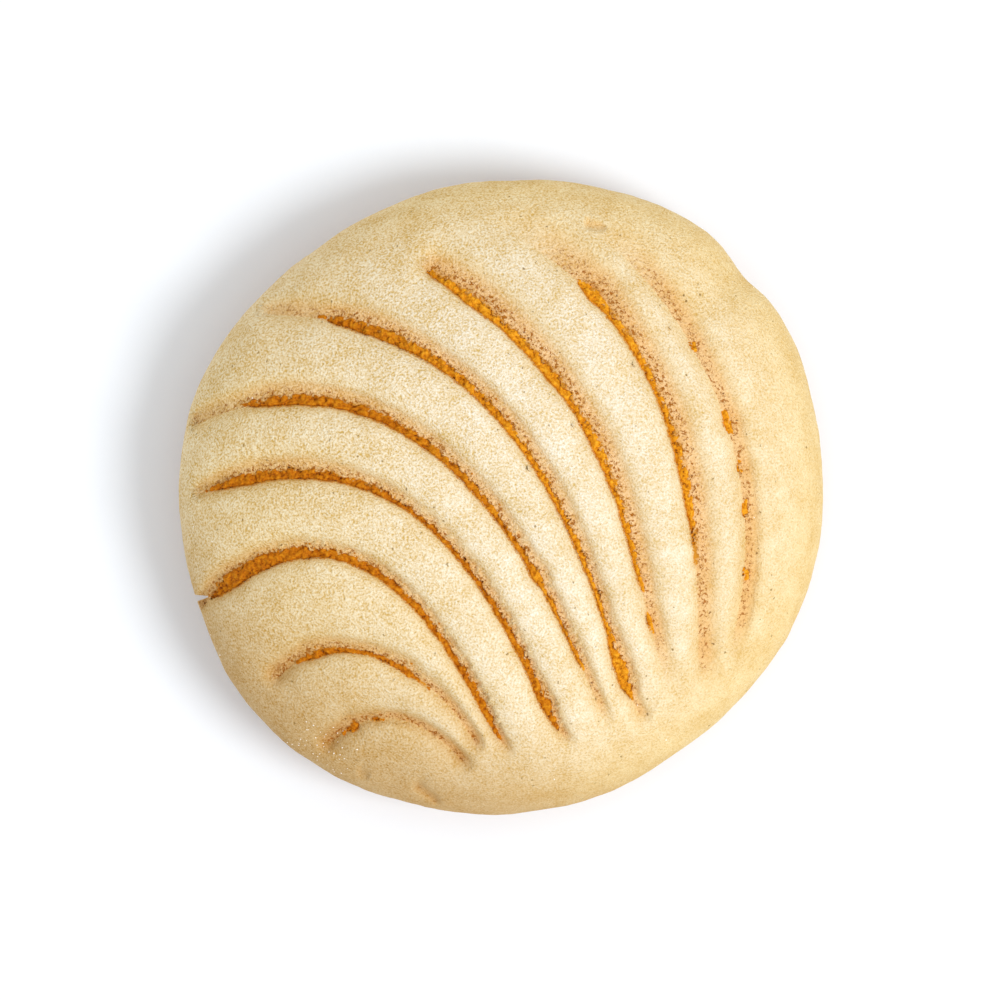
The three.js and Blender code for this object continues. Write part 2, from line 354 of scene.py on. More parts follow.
# Painted shade: the torn crumb is darkened towards the side away from the lamp
crumb_shade = add(tree, "ShaderNodeVectorMath", {0: place, 1: CRUMB_LIT_WAY}, operation="DOT_PRODUCT")
crumb_shade = add(tree, "ShaderNodeMapRange",
              {"Value": crumb_shade.outputs["Value"], "From Min": CRUMB_SHADE_FROM, "From Max": CRUMB_SHADE_FULL})
torn = add(tree, "ShaderNodeMix", {"Factor": crumb_shade, "A": torn.outputs[0], "B": linear("#dec895")},
           data_type="RGBA", blend_type="MULTIPLY")
patches = add(tree, "ShaderNodeTexNoise",
              {"Vector": place, "Scale": 1 / CRUST_PATCH, "Detail": 5.0, "Roughness": 0.6})
baked = add(tree, "ShaderNodeValToRGB", {"Fac": patches.outputs[0]})
baked.color_ramp.elements[0].position = 0.3
baked.color_ramp.elements[0].color = linear("#a9652a")
baked.color_ramp.elements[1].position = 0.7
baked.color_ramp.elements[1].color = linear("#d69c4e")
is_top = add(tree, "ShaderNodeMapRange",
             {"Value": height, "From Min": CRUST_UP_TO, "From Max": CRUMB_DOWN_TO},
             interpolation_type="SMOOTHSTEP")
dough = add(tree, "ShaderNodeMix", {"Factor": is_top, "A": baked.outputs[0], "B": torn}, data_type="RGBA")
is_base = add(tree, "ShaderNodeMapRange",
              {"Value": height, "From Min": BROWN_BASE_UP_TO, "From Max": 0.2 * MM},
              interpolation_type="SMOOTHSTEP")
browned = add(tree, "ShaderNodeMix",
              {"Factor": is_base, "A": dough, "B": linear("#8f5420")}, data_type="RGBA")
relief = add(tree, "ShaderNodeBump", {"Height": crumb.outputs[0], "Strength": 0.7, "Distance": 0.3 * MM})
shader = add(tree, "ShaderNodeBsdfPrincipled", {"Base Color": browned, "Roughness": 0.75,
                                                "Specular IOR Level": 0.12, "Normal": relief})
add(tree, "ShaderNodeOutputMaterial", {"Surface": shader})

bread_view = side_view(ROLL_RADIUS - PASTE_AT_RIM, ROLL_HEIGHT - PASTE_AT_CROWN, BASE_RADIUS, 0)
bread = dome("bread_roll", bread_view, BREAD_SQUARES, BASE_RINGS)
for inner, outer in BREAD_SPLITS:
    split_along_cuts(bread, inner * MM, outer * MM)

# Swells the crumb up into the open cuts, tears it there and dimples the crust elsewhere. The swelling
# starts and is full at these distances from a gap's edge, and it fades out above the widest level
CRUMB_SPREAD = (0.9 * MM, 0.1 * MM)
CRUMB_FADES_OVER = 4 * MM
tree, given = start_tree("Torn crumb", {
    "Cut guide": "Object", "Swells by": "Float", "Crumb size": "Float", "Crumb depth": "Float",
    "Dimple size": "Float", "Dimple depth": "Float", "Seed": "Float", "Crust": "Material"})
spot = add(tree, "GeometryNodeInputPosition")
level = add(tree, "ShaderNodeSeparateXYZ", {"Vector": spot}).outputs["Z"]
lines = add(tree, "GeometryNodeObjectInfo", {"Object": given["Cut guide"]}, transform_space="RELATIVE")
way, here = read_guide(tree, lines.outputs["Geometry"], spot, ("gap", "open"))
away = add(tree, "ShaderNodeVectorMath", {0: way}, operation="LENGTH").outputs["Value"]
half_gap = add(tree, "ShaderNodeMath", {0: here["gap"], 1: 0.5}, operation="MULTIPLY")
beyond = add(tree, "ShaderNodeMath", {0: away, 1: half_gap}, operation="SUBTRACT")
in_cut = add(tree, "ShaderNodeMapRange",
             {"Value": beyond, "From Min": CRUMB_SPREAD[0], "From Max": CRUMB_SPREAD[1]},
             interpolation_type="SMOOTHSTEP")
torn_open = add(tree, "ShaderNodeMapRange", {"Value": here["open"], "From Max": 0.3})
on_top = add(tree, "ShaderNodeMapRange",
             {"Value": level, "From Min": WIDEST_LEVEL, "From Max": WIDEST_LEVEL + CRUMB_FADES_OVER})
for factor in (torn_open, on_top):
    in_cut = add(tree, "ShaderNodeMath", {0: in_cut, 1: factor}, operation="MULTIPLY")
finer = add(tree, "ShaderNodeMath", {0: 1.0, 1: given["Crumb size"]}, operation="DIVIDE")
coarser = add(tree, "ShaderNodeMath", {0: 1.0, 1: given["Dimple size"]}, operation="DIVIDE")
crumbs = add(tree, "ShaderNodeTexNoise", {"Vector": spot, "W": given["Seed"], "Scale": finer, "Detail": 2.0,
                                          "Roughness": 0.6}, noise_dimensions="4D")
dimples = add(tree, "ShaderNodeTexNoise",
              {"Vector": spot, "W": given["Seed"], "Scale": coarser, "Detail": 2.0}, noise_dimensions="4D")
torn_by = add(tree, "ShaderNodeMapRange", {"Value": crumbs.outputs[0], "From Min": 0.3, "From Max": 0.7})
torn_by = add(tree, "ShaderNodeMath", {0: torn_by, 1: given["Crumb depth"]}, operation="MULTIPLY")
swollen = add(tree, "ShaderNodeMath", {0: given["Swells by"], 1: torn_by}, operation="SUBTRACT")
swollen = add(tree, "ShaderNodeMath", {0: swollen, 1: in_cut}, operation="MULTIPLY")
on_side = add(tree, "ShaderNodeMapRange", {"Value": level, "From Min": 0.0, "From Max": BROWN_BASE_UP_TO})
dimpled_by = add(tree, "ShaderNodeMath", {0: dimples.outputs[0], 1: on_side}, operation="MULTIPLY")
dimpled_by = add(tree, "ShaderNodeMath", {0: dimpled_by, 1: given["Dimple depth"]}, operation="MULTIPLY")
outward = add(tree, "ShaderNodeMath", {0: swollen, 1: dimpled_by}, operation="SUBTRACT")
shift = add(tree, "ShaderNodeVectorMath",
            {0: add(tree, "GeometryNodeInputNormal"), "Scale": outward}, operation="SCALE")
# Keeps the depth of the crumb's hollows, for the painted shade in its colour
marked = add(tree, "GeometryNodeStoreNamedAttribute",
             {"Geometry": given["Geometry"], "Name": "hollows", "Value": crumbs.outputs[0]},
             data_type="FLOAT", domain="POINT")
moved = add(tree, "GeometryNodeSetPosition", {"Geometry": marked, "Offset": shift})
end_tree(tree, moved, given["Crust"])
run_tree(bread, tree, {
    "Cut guide": guide, "Swells by": 1.7 * MM, "Crumb size": 1.1 * MM, "Crumb depth": 1.2 * MM,
    "Dimple size": 6 * MM, "Dimple depth": 0.3 * MM, "Seed": 3.0, "Crust": crust})
bread.data.shade_smooth()
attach(bread, "root")
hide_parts("bun")

# The sugar paste
# A shell of flour, sugar and fat paste, rolled out, laid on the dough and pressed with a scorer
# of curved blades. In the oven the nine cuts spread, most of them down to the bread. A pillowy
# ridge slopes smoothly to each cut's inner edge, and its outer edge is a crumbly, toasted floor.
PASTE_EDGE_LEVEL = 9 * MM
PASTE_EDGE_RADIUS = 54.9 * MM
EDGE_WAVES = [(3, 0.7, 20), (7, 0.5, 75), (11, 0.3, 10)]
PASTE_SQUARES = 144
PASTE_SPLITS = [(2.2, 3.7), (1.3, 2.4)]
ROOM_FOR_BREAD = 0.05 * MM
HOLLOW_SQUARES = 72
SHARP_FROM = math.radians(60)

# The notch at the rim where the third cut ran out: its tip and mouth in plan and levels, in mm
NOTCH_TIP, NOTCH_MOUTH, NOTCH_LEVELS = (-51.2, -17.5), [(-60, -16.9), (-60, -20.6)], (5, 32)

# Section of a cut as a share of its full depth: distance in mm from the gap's edge on the inner side
# (negative), a smooth shoulder, and on the outer side, a crumbly floor with a wall up to the next ridge
SECTION = [
    (-5.5, 0.02), (-4, 0.055), (-3, 0.09), (-2, 0.155), (-1.2, 0.25), (-0.6, 0.37), (-0.2, 0.46),
    (0.15, 0.5), (0.8, 0.49), (1.4, 0.45), (1.8, 0.37), (2.2, 0.25), (2.7, 0.165), (3.4, 0.105),
    (4.4, 0.06), (5.8, 0.02)]
SECTION_REACH = 7 * MM

# How far from the gap each of these starts and is full: toasting on either side, the floor, its pits, the
# ragged edge and the gap's own walls. Then how far crumb stains the paste, the narrowest gap, and the
# least that the paste may face upwards and still be pressed to the cut's full depth
INNER_TOASTING, OUTER_TOASTING = (2.2 * MM, 0.0), (3.3 * MM, 1.5 * MM)
FLOOR_SPREAD = (2.3 * MM, 1.0 * MM)
PIT_SPREAD = (1.6 * MM, 0.1 * MM)
RAGGED_SPREAD = (1.8 * MM, 0.5 * MM)
GAP_SPREAD = (0.2 * MM, 0.02 * MM)
STAIN_REACH = 1.0 * MM
LEAST_GAP = 0.02 * MM
LEAST_UPWARD = 0.625


def edge_sag(angle, level):
    """How far the paste's side crept up or down around the roll, growing towards its lower edge."""
    wave = sum(size * np.cos(around * (angle - math.radians(peak))) for around, size, peak in EDGE_WAVES)
    below = np.maximum(0, (WIDEST_LEVEL - level) / (WIDEST_LEVEL - PASTE_EDGE_LEVEL))
    return wave * MM * below


# Sugar paste: baked flour and sugar, a dry, fine-grained cream that toasts pinkish tan by the cuts. Flour
# is too fine to show, so the grain is drawn as coarse as the sugar in it.
SUGAR_GRAIN = 0.38 * MM
CLOUD_SIZE = 6 * MM
FLECK_SIZE, FLECK_BEND, FLECK_STRAYS = 0.6 * MM, 0.7 * MM, 0.9 * MM
BUBBLE_SPACING = 2.2 * MM

# Its uneven colour. The cream is darker one way across the roll, as painted shade on the side away from the
# lamp; its grain's contrast grows another way, partly as painted shade on its relief; and it is darker
# towards its low side. Each has its direction and where it starts or is full, and the rim yellows between two
# levels
PASTE_SHADED_WAY, PASTE_SHADE_FULL = (-0.95, -0.3, 0), 40 * MM
GRAIN_SHADE_WAY, GRAININESS = (-18, 8, 0), 2.4
LOW_WAY, LOW_FROM, LOW_FULL = (-0.45, -0.8, -0.35), 10 * MM, 46 * MM
RIM_FROM, RIM_FULL = 42 * MM, 22 * MM
paste_stuff, tree = start_material("sugar_paste")
place = add(tree, "ShaderNodeTexCoord").outputs["Object"]
height = add(tree, "ShaderNodeSeparateXYZ", {"Vector": place}).outputs["Z"]
toast = add(tree, "ShaderNodeAttribute", attribute_name="toast").outputs["Fac"]
cut_floor = add(tree, "ShaderNodeAttribute", attribute_name="floor").outputs["Fac"]
stained = add(tree, "ShaderNodeAttribute", attribute_name="stained").outputs["Fac"]
clouds = add(tree, "ShaderNodeTexNoise",
             {"Vector": place, "Scale": 1 / CLOUD_SIZE, "Detail": 4.0, "Roughness": 0.65})
grain = add(tree, "ShaderNodeTexNoise",
            {"Vector": place, "Scale": 1 / SUGAR_GRAIN, "Detail": 2.0, "Roughness": 0.6})
# Painted shade: the cream darkens towards the left, the side away from the lamp
sideways = add(tree, "ShaderNodeVectorMath", {0: place, 1: PASTE_SHADED_WAY}, operation="DOT_PRODUCT")
shaded_left = add(tree, "ShaderNodeMapRange",
                {"Value": sideways.outputs["Value"], "From Min": 0.0, "From Max": PASTE_SHADE_FULL})
right_side = add(tree, "ShaderNodeMath", {0: 1.0, 1: shaded_left}, operation="SUBTRACT")
# Partly the paste's own grain, partly painted shade: its contrast grows towards the upper left, away from the
# lamp
grain_and_shade = add(tree, "ShaderNodeVectorMath", {0: place, 1: GRAIN_SHADE_WAY}, operation="DOT_PRODUCT")
grain_and_shade = add(tree, "ShaderNodeMath", {0: grain_and_shade.outputs["Value"], 1: GRAININESS}, operation="ADD")
tone = add(tree, "ShaderNodeMath", {0: grain.outputs[0], 1: 0.5}, operation="SUBTRACT")
tone = add(tree, "ShaderNodeMath", {0: tone, 1: grain_and_shade, 2: clouds.outputs[0]}, operation="MULTIPLY_ADD")
tone = add(tree, "ShaderNodeMapRange", {"Value": tone, "From Min": -0.12, "From Max": 1.12})
cream = add(tree, "ShaderNodeValToRGB", {"Fac": tone})
cream.color_ramp.elements[0].color = linear("#d3ae5a")
cream.color_ramp.elements[1].color = linear("#fefaee")
cream.color_ramp.elements.new(0.5).color = linear("#eedcba")
towards_rim = add(tree, "ShaderNodeMapRange",
                  {"Value": height, "From Min": RIM_FROM, "From Max": RIM_FULL, "To Max": right_side},
                  interpolation_type="SMOOTHSTEP")
# Darker towards the low side, on the lower left
low_side = add(tree, "ShaderNodeVectorMath", {0: place, 1: LOW_WAY}, operation="DOT_PRODUCT")
low_side = add(tree, "ShaderNodeMapRange",
               {"Value": low_side.outputs["Value"], "From Min": LOW_FROM, "From Max": LOW_FULL},
               interpolation_type="SMOOTHSTEP")
cream = cream.outputs[0]
# Multiplies in the painted shade on the left, the rim's yellowing and the darker low side
for share, colour in ((shaded_left, "#f9f0d7"), (towards_rim, "#f9ebc5"), (low_side, "#dbcab3")):
    cream = add(tree, "ShaderNodeMix", {"Factor": share, "A": cream, "B": linear(colour)},
                data_type="RGBA", blend_type="MULTIPLY")

# Toasting by the cuts, with brown flecks on their floors where grains broke away
bent = add(tree, "ShaderNodeTexNoise", {"Vector": place, "Scale": 1 / FLECK_BEND, "Detail": 2.0})
bent = add(tree, "ShaderNodeVectorMath",
           {0: bent.outputs["Color"], 1: (FLECK_STRAYS, FLECK_STRAYS, FLECK_STRAYS), 2: place},
           operation="MULTIPLY_ADD")
broken = add(tree, "ShaderNodeTexNoise",
             {"Vector": bent, "Scale": 1 / FLECK_SIZE, "Detail": 3.0, "Roughness": 0.7})
fleck = add(tree, "ShaderNodeMath", {0: cut_floor, 1: 0.18, 2: 0.3}, operation="MULTIPLY_ADD")
fleck = add(tree, "ShaderNodeMath", {0: fleck, 1: broken.outputs[0]}, operation="SUBTRACT")
fleck = add(tree, "ShaderNodeMath", {0: fleck, 1: 18.0}, operation="MULTIPLY", use_clamp=True)
fleck = add(tree, "ShaderNodeMath", {0: fleck, 1: cut_floor}, operation="MULTIPLY")
tan = add(tree, "ShaderNodeMath", {0: grain.outputs[0], 1: 0.6, 2: toast}, operation="MULTIPLY_ADD")
tan = add(tree, "ShaderNodeMapRange", {"Value": tan, "From Min": 0.35, "From Max": 1.2})
floor_tint = add(tree, "ShaderNodeMix",
                 {"Factor": right_side, "A": linear("#f9e3c5"), "B": linear("#f9dbb6")}, data_type="RGBA")
tint = add(tree, "ShaderNodeMix",
           {"Factor": cut_floor, "A": linear("#f9efd6"), "B": floor_tint}, data_type="RGBA")
toasted = add(tree, "ShaderNodeMix", {"Factor": tan, "A": cream, "B": tint},
              data_type="RGBA", blend_type="MULTIPLY")
flecked = add(tree, "ShaderNodeMix",
              {"Factor": fleck, "A": toasted, "B": linear("#a9661c")}, data_type="RGBA")

# Burst bubbles: few and olive on the ridges, more of them and dark brown by the cuts
bubbles = add(tree, "ShaderNodeTexVoronoi", {"Vector": bent, "Scale": 1 / BUBBLE_SPACING}, feature="F1")
burst = add(tree, "ShaderNodeMapRange",
            {"Value": bubbles.outputs["Distance"], "From Min": 0.12, "From Max": 0.06, "To Max": 0.85})
chance = add(tree, "ShaderNodeSeparateXYZ", {"Vector": bubbles.outputs["Color"]}).outputs["X"]
chance = add(tree, "ShaderNodeMath", {0: cut_floor, 1: 0.55, 2: chance}, operation="MULTIPLY_ADD")
chosen = add(tree, "ShaderNodeMath", {0: chance, 1: 0.6}, operation="GREATER_THAN")
burst = add(tree, "ShaderNodeMath", {0: burst, 1: chosen}, operation="MULTIPLY")
scorched = add(tree, "ShaderNodeMix",
               {"Factor": cut_floor, "A": linear("#94743a"), "B": linear("#6e3506")}, data_type="RGBA")
pitted = add(tree, "ShaderNodeMix", {"Factor": burst, "A": flecked, "B": scorched}, data_type="RGBA")

# A fringe of bread crumb on the grains at the gap's edge
fringe = add(tree, "ShaderNodeMath", {0: grain.outputs[0], 1: 1.4, 2: stained}, operation="MULTIPLY_ADD")
fringe = add(tree, "ShaderNodeMapRange", {"Value": fringe, "From Min": 1.2, "From Max": 1.45})
crumbed = add(tree, "ShaderNodeMix",
              {"Factor": fringe, "A": pitted, "B": linear("#cf8a26")}, data_type="RGBA")
dents = add(tree, "ShaderNodeMath", {0: fleck, 1: -0.12, 2: grain.outputs[0]}, operation="MULTIPLY_ADD")
relief = add(tree, "ShaderNodeBump", {"Height": dents, "Strength": 0.9, "Distance": 0.4 * MM})
shader = add(tree, "ShaderNodeBsdfPrincipled", {"Base Color": crumbed, "Roughness": 0.9,
                                                "Specular IOR Level": 0.2, "Normal": relief})
add(tree, "ShaderNodeOutputMaterial", {"Surface": shader})

paste_view = side_view(ROLL_RADIUS, ROLL_HEIGHT, PASTE_EDGE_RADIUS, PASTE_EDGE_LEVEL)
paste = dome("paste_shell", paste_view, PASTE_SQUARES, [], edge_sag)
for inner, outer in PASTE_SPLITS:
    split_along_cuts(paste, inner * MM, outer * MM)

# What the paste is hollowed out by: the bread with a hair of room, and a wedge for the notch at the rim
hollow_view = side_view(ROLL_RADIUS - PASTE_AT_RIM + ROOM_FOR_BREAD,
                        ROLL_HEIGHT - PASTE_AT_CROWN + ROOM_FOR_BREAD, BASE_RADIUS, -ROOM_FOR_BREAD)
hollow = dome("hollow", hollow_view, HOLLOW_SQUARES, [])
mesh = bpy.data.meshes.new("notch")
mesh.from_pydata([(x * MM, y * MM, z * MM) for z in NOTCH_LEVELS for x, y in (NOTCH_TIP, *NOTCH_MOUTH)], [],
                 [(0, 2, 1), (3, 4, 5), (0, 1, 4, 3), (1, 2, 5, 4), (2, 0, 3, 5)])
notch = make_object("notch", mesh)

# Presses the cuts into the paste, one after another, and keeps the most that any cut does to a spot
MARKS = ("Sunk", "Toast", "Floor", "Stained")
tree, given = start_tree("Scoring", {
    "Cut guide": "Object", "Hollow": "Object", "Notch": "Object", "Cuts": "Int", "Depth": "Float",
    "Ragged by": "Float", "Ragged size": "Float", "Pit size": "Float", "Pit depth": "Float",
    "Lump size": "Float", "Lump height": "Float", "Seed": "Float", "Paste": "Material"})
spot = add(tree, "GeometryNodeInputPosition")
facing = add(tree, "GeometryNodeInputNormal")
upward = add(tree, "ShaderNodeSeparateXYZ", {"Vector": facing}).outputs["Z"]
lines = add(tree, "GeometryNodeObjectInfo", {"Object": given["Cut guide"]}, transform_space="RELATIVE")
ragged_scale = add(tree, "ShaderNodeMath", {0: 1.0, 1: given["Ragged size"]}, operation="DIVIDE")
rough = add(tree, "ShaderNodeTexNoise", {"Vector": spot, "W": given["Seed"], "Scale": ragged_scale,
                                         "Detail": 4.0, "Roughness": 0.8}, noise_dimensions="4D")
wander = add(tree, "ShaderNodeMath", {0: rough.outputs[0], 1: 0.43}, operation="SUBTRACT")
wander = add(tree, "ShaderNodeMath", {0: wander, 1: given["Ragged by"]}, operation="MULTIPLY")
pit_scale = add(tree, "ShaderNodeMath", {0: 1.0, 1: given["Pit size"]}, operation="DIVIDE")
pits = add(tree, "ShaderNodeTexNoise", {"Vector": spot, "W": given["Seed"], "Scale": pit_scale,
                                        "Detail": 1.0}, noise_dimensions="4D")
pits = add(tree, "ShaderNodeMapRange", {"Value": pits.outputs[0], "From Min": 0.54, "From Max": 0.72})
every_cut = add(tree, "GeometryNodeRepeatInput")
all_cuts = add(tree, "GeometryNodeRepeatOutput")
every_cut.pair_with_output(all_cuts)
all_cuts.repeat_items.clear()
for title in MARKS:
    all_cuts.repeat_items.new("FLOAT", title)
tree.links.new(given["Cuts"], every_cut.inputs["Iterations"])
is_this = add(tree, "FunctionNodeCompare", {
    "A": add(tree, "GeometryNodeInputNamedAttribute", {"Name": "cut"}, data_type="INT"),
    "B": every_cut.outputs["Iteration"]}, data_type="INT", operation="EQUAL")
line = add(tree, "GeometryNodeSeparateGeometry",
           {"Geometry": lines.outputs["Geometry"], "Selection": is_this}, domain="POINT").outputs["Selection"]
way, here = read_guide(tree, line, spot, ("leftward", "depth", "gap", "open", "inner", "outer"))

# Distance from the middle of the cut, ragged by the gap and most of all on its outer side, then beyond
# the gap's edge and measured in breadths of that side's wall
across = add(tree, "ShaderNodeVectorMath", {0: way, 1: here["leftward"]}, operation="DOT_PRODUCT")
across = across.outputs["Value"]
is_outer = add(tree, "ShaderNodeMath", {0: across, 1: 0.0}, operation="GREATER_THAN")
ragged = add(tree, "ShaderNodeMath", {0: is_outer, 1: 0.75, 2: 0.25}, operation="MULTIPLY_ADD")
half_gap = add(tree, "ShaderNodeMath", {0: here["gap"], 1: 0.5}, operation="MULTIPLY")
off_edge = add(tree, "ShaderNodeMath", {0: across}, operation="ABSOLUTE")
off_edge = add(tree, "ShaderNodeMath", {0: off_edge, 1: half_gap}, operation="SUBTRACT")
by_edge = add(tree, "ShaderNodeMapRange",
              {"Value": off_edge, "From Min": RAGGED_SPREAD[0], "From Max": RAGGED_SPREAD[1]})
for factor in (wander, here["open"], by_edge):
    ragged = add(tree, "ShaderNodeMath", {0: ragged, 1: factor}, operation="MULTIPLY")
across = add(tree, "ShaderNodeMath", {0: across, 1: ragged}, operation="ADD")
beyond = add(tree, "ShaderNodeMath", {0: across}, operation="ABSOLUTE")
beyond = add(tree, "ShaderNodeMath", {0: beyond, 1: half_gap}, operation="SUBTRACT")
beyond = add(tree, "ShaderNodeMath", {0: beyond, 1: 0.0}, operation="MAXIMUM")
breadth = add(tree, "ShaderNodeMix", {"Factor": is_outer, "A": here["inner"], "B": here["outer"]})
beyond = add(tree, "ShaderNodeMath", {0: beyond, 1: breadth}, operation="DIVIDE")
side = add(tree, "ShaderNodeMath", {0: is_outer, 1: 2.0, 2: -1.0}, operation="MULTIPLY_ADD")
sided = add(tree, "ShaderNodeMath", {0: beyond, 1: side}, operation="MULTIPLY")
on_section = add(tree, "ShaderNodeMapRange",
                 {"Value": sided, "From Min": -SECTION_REACH, "From Max": SECTION_REACH})
section = add(tree, "ShaderNodeFloatCurve", {"Value": on_section})
points = section.mapping.curves[0].points
points[0].location = (0, 0)
points[1].location = (1, 0)
for distance, share in SECTION:
    points.new(0.5 + 0.5 * distance * MM / SECTION_REACH, share)
section.mapping.update()

# How deep the cut is pressed: its section with small pits by the gap, and right through in the gap
pitted = add(tree, "ShaderNodeMapRange",
             {"Value": beyond, "From Min": PIT_SPREAD[0], "From Max": PIT_SPREAD[1]})
for factor in (is_outer, pits):
    pitted = add(tree, "ShaderNodeMath", {0: pitted, 1: factor}, operation="MULTIPLY")
pressed = add(tree, "ShaderNodeMath",
              {0: pitted, 1: given["Pit depth"], 2: section}, operation="MULTIPLY_ADD")
pressed = add(tree, "ShaderNodeMath", {0: pressed, 1: here["depth"]}, operation="MULTIPLY")
through = add(tree, "ShaderNodeMapRange",
              {"Value": beyond, "From Min": GAP_SPREAD[0], "From Max": GAP_SPREAD[1]})
is_open = add(tree, "ShaderNodeMath", {0: here["gap"], 1: LEAST_GAP}, operation="GREATER_THAN")
through = add(tree, "ShaderNodeMath", {0: through, 1: is_open}, operation="MULTIPLY")
pressed = add(tree, "ShaderNodeMath", {0: pressed, 1: through}, operation="MAXIMUM")

# How far the paste is toasted, whether it is a floor, and how far bread crumb stains it
starts = add(tree, "ShaderNodeMix", {"Factor": is_outer, "A": INNER_TOASTING[0], "B": OUTER_TOASTING[0]})
ends = add(tree, "ShaderNodeMix", {"Factor": is_outer, "A": INNER_TOASTING[1], "B": OUTER_TOASTING[1]})
toasted = add(tree, "ShaderNodeMapRange", {"Value": beyond, "From Min": starts, "From Max": ends})
baring = add(tree, "ShaderNodeMapRange", {"Value": here["open"], "To Min": 0.9})
for factor in (here["depth"], baring):
    toasted = add(tree, "ShaderNodeMath", {0: toasted, 1: factor}, operation="MULTIPLY")
on_floor = add(tree, "ShaderNodeMapRange",
               {"Value": beyond, "From Min": FLOOR_SPREAD[0], "From Max": FLOOR_SPREAD[1]})
for factor in (is_outer, here["depth"]):
    on_floor = add(tree, "ShaderNodeMath", {0: on_floor, 1: factor}, operation="MULTIPLY")
stained = add(tree, "ShaderNodeMapRange", {"Value": beyond, "From Min": STAIN_REACH, "From Max": 0.0})
stained = add(tree, "ShaderNodeMath", {0: stained, 1: here["open"]}, operation="MULTIPLY")
for title, field in zip(MARKS, (pressed, toasted, on_floor, stained)):
    most = add(tree, "ShaderNodeMath", {0: field, 1: every_cut.outputs[title]}, operation="MAXIMUM")
    tree.links.new(most.outputs[0], all_cuts.inputs[title])
marked = given["Geometry"]
for title in MARKS:
    marked = add(tree, "GeometryNodeStoreNamedAttribute",
                 {"Geometry": marked, "Name": title.lower(), "Value": all_cuts.outputs[title]},
                 data_type="FLOAT", domain="POINT")

# Sinks the paste there, swells it into soft lumps and takes the bread and the notch out of it
slope = add(tree, "ShaderNodeMath", {0: upward, 1: LEAST_UPWARD}, operation="MAXIMUM")
sink = add(tree, "ShaderNodeMath", {0: given["Depth"], 1: slope}, operation="DIVIDE")
sunk = add(tree, "GeometryNodeInputNamedAttribute", {"Name": "sunk"}, data_type="FLOAT")
sink = add(tree, "ShaderNodeMath", {0: sink, 1: sunk}, operation="MULTIPLY")
on_top = add(tree, "ShaderNodeMapRange",
             {"Value": upward, "From Min": 0.2, "From Max": 0.45, "To Max": -1.0})
sink = add(tree, "ShaderNodeMath", {0: sink, 1: on_top}, operation="MULTIPLY")
lump_scale = add(tree, "ShaderNodeMath", {0: 1.0, 1: given["Lump size"]}, operation="DIVIDE")
lumps = add(tree, "ShaderNodeTexNoise", {"Vector": spot, "W": given["Seed"], "Scale": lump_scale,
                                         "Detail": 4.0, "Roughness": 0.5}, noise_dimensions="4D")
lumps = add(tree, "ShaderNodeMath", {0: lumps.outputs[0], 1: 0.5}, operation="SUBTRACT")
lumps = add(tree, "ShaderNodeMath", {0: lumps, 1: given["Lump height"]}, operation="MULTIPLY")
lumps = add(tree, "ShaderNodeVectorMath", {0: facing, "Scale": lumps}, operation="SCALE")
shift = add(tree, "ShaderNodeVectorMath",
            {0: lumps, 1: add(tree, "ShaderNodeCombineXYZ", {"Z": sink})}, operation="ADD")
moved = add(tree, "GeometryNodeSetPosition", {"Geometry": marked, "Offset": shift})
inside = add(tree, "GeometryNodeObjectInfo", {"Object": given["Hollow"]}, transform_space="RELATIVE")
wedge = add(tree, "GeometryNodeObjectInfo", {"Object": given["Notch"]}, transform_space="RELATIVE")
shell = add(tree, "GeometryNodeMeshBoolean", {"Mesh 1": moved, "Mesh 2": inside.outputs["Geometry"]},
            operation="DIFFERENCE", solver="MANIFOLD")
tree.links.new(wedge.outputs["Geometry"], shell.inputs["Mesh 2"])
end_tree(tree, shell, given["Paste"])
run_tree(paste, tree, {
    "Cut guide": guide, "Hollow": hollow, "Notch": notch, "Cuts": len(CUTS), "Depth": 4.2 * MM,
    "Ragged by": 4.4 * MM, "Ragged size": 1.8 * MM, "Pit size": 1.0 * MM, "Pit depth": 0.1,
    "Lump size": 9 * MM, "Lump height": 1.1 * MM, "Seed": 5.0, "Paste": paste_stuff})
paste.data.shade_smooth()
paste.data.set_sharp_from_angle(angle=SHARP_FROM)
bpy.data.objects.remove(hollow)
bpy.data.objects.remove(notch)
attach(paste, "root")
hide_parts("topping")

# The crumbs
# Specks of torn bread that broke off as the cuts spread in the oven. They rolled out onto the
# paste beside the gaps and baked on where they lay.
SHEDDING_GAP = 0.6 * MM
DROP_HEIGHT, DROP_REACH = 80 * MM, 100 * MM
ANY_TURN = (6.28, 6.28, 6.28)

# Loose crumb: dry toasted bread, matte, each speck of its own brown
crumb_stuff, tree = start_material("loose_crumb")
which = add(tree, "ShaderNodeAttribute", attribute_name="tone").outputs["Fac"]
tint = add(tree, "ShaderNodeValToRGB", {"Fac": which})
tint.color_ramp.elements[0].color = linear("#7a3f0a")
tint.color_ramp.elements[1].color = linear("#c8821e")
shader = add(tree, "ShaderNodeBsdfPrincipled",
             {"Base Color": tint.outputs[0], "Roughness": 0.8, "Specular IOR Level": 0.12})
add(tree, "ShaderNodeOutputMaterial", {"Surface": shader})

crumbs = make_object("crust_crumbs", bpy.data.meshes.new("crust_crumbs"))

